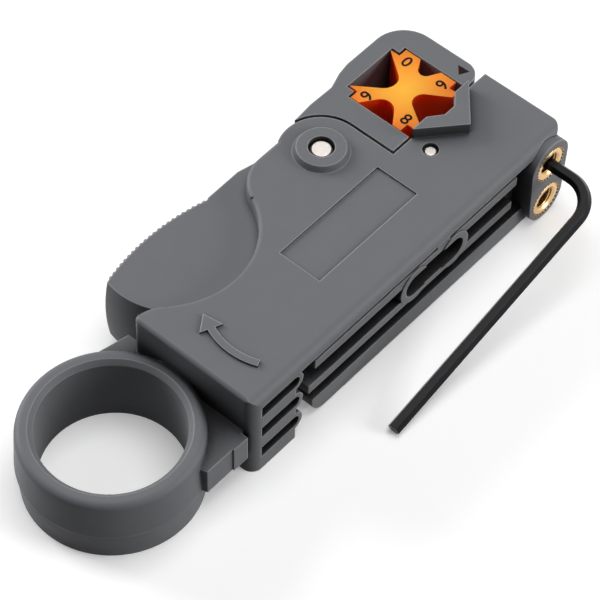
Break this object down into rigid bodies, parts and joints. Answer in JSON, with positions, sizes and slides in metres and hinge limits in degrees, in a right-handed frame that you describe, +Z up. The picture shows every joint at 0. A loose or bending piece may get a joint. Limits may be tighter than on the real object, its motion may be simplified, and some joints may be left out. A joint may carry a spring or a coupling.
{
  "type": "coaxial cable stripper",
  "caption": "Hand-turned coaxial cable stripper: finger ring, thumb lever with spring jaw, turnable v block, and screw-set blades with a hex key in the upper screw.",
  "frame": {"origin": "axis of the finger ring at its lower face, which lies in the plane that the tool rests on", "axes": "+Y from the finger ring to the cable jaw, +X to the blade screws, +Z up through the finger ring"},
  "size_m": [0.0474, 0.1046, 0.0209],
  "materials": {
    "grey_plastic": "fine satin mould texture",
    "orange_plastic": "smooth, slightly translucent",
    "steel": "satin",
    "brass": "turned and knurled",
    "black_steel": "black oxide"
  },
  "bodies": {
    "body": {"housing": "grey_plastic", "pivot_pin": "steel", "lever_spring": "steel", "blade_cassette": "grey_plastic", "cassette_pin": "steel", "insert_upper": "brass", "insert_lower": "brass", "slide_spring_upper": "steel", "slide_spring_lower": "steel"},
    "rocker": {"rocker": "grey_plastic", "v_block": "orange_plastic"},
    "upper_slide": {"blade_slide_upper": "grey_plastic", "blade_upper": "steel", "blade_clamp_upper": "steel"},
    "lower_slide": {"blade_slide_lower": "grey_plastic", "blade_lower": "steel", "blade_clamp_lower": "steel"},
    "upper_screw": {"set_screw_upper": "black_steel", "hex_key": "black_steel"},
    "lower_screw": {"set_screw_lower": "black_steel"}
  },
  "joints": [
    {"name": "rocker_pivot", "type": "hinge", "parent": "body", "child": "rocker", "pos_m": [-0.0092, 0.0585, 0], "axis": [0, 0, 1], "range_deg": [0, 12], "stiffness_Nm_per_rad": 1.3, "springref_deg": -2.86, "deforming": ["lever_spring"]},
    {"name": "upper_blade_feed", "type": "slide", "parent": "body", "child": "upper_slide", "axis": [-1, 0, 0], "range_m": [-0.00052, 0.00088], "deforming": ["slide_spring_upper"]},
    {"name": "upper_screw_turn", "type": "hinge", "parent": "upper_slide", "child": "upper_screw", "pos_m": [0.015, 0.085, 0.0131], "axis": [-1, 0, 0], "range_deg": [-275, 455]},
    {"name": "lower_blade_feed", "type": "slide", "parent": "body", "child": "lower_slide", "axis": [-1, 0, 0], "range_m": [-0.00052, 0.00088], "deforming": ["slide_spring_lower"]},
    {"name": "lower_screw_turn", "type": "hinge", "parent": "lower_slide", "child": "lower_screw", "pos_m": [0.015, 0.085, 0.0043], "axis": [-1, 0, 0], "range_deg": [-275, 455]}
  ],
  "couplings": [
    {"joint": "upper_screw_turn", "follows": "upper_blade_feed", "rad_per_m": 8976},
    {"joint": "lower_screw_turn", "follows": "lower_blade_feed", "rad_per_m": 8976}
  ]
}
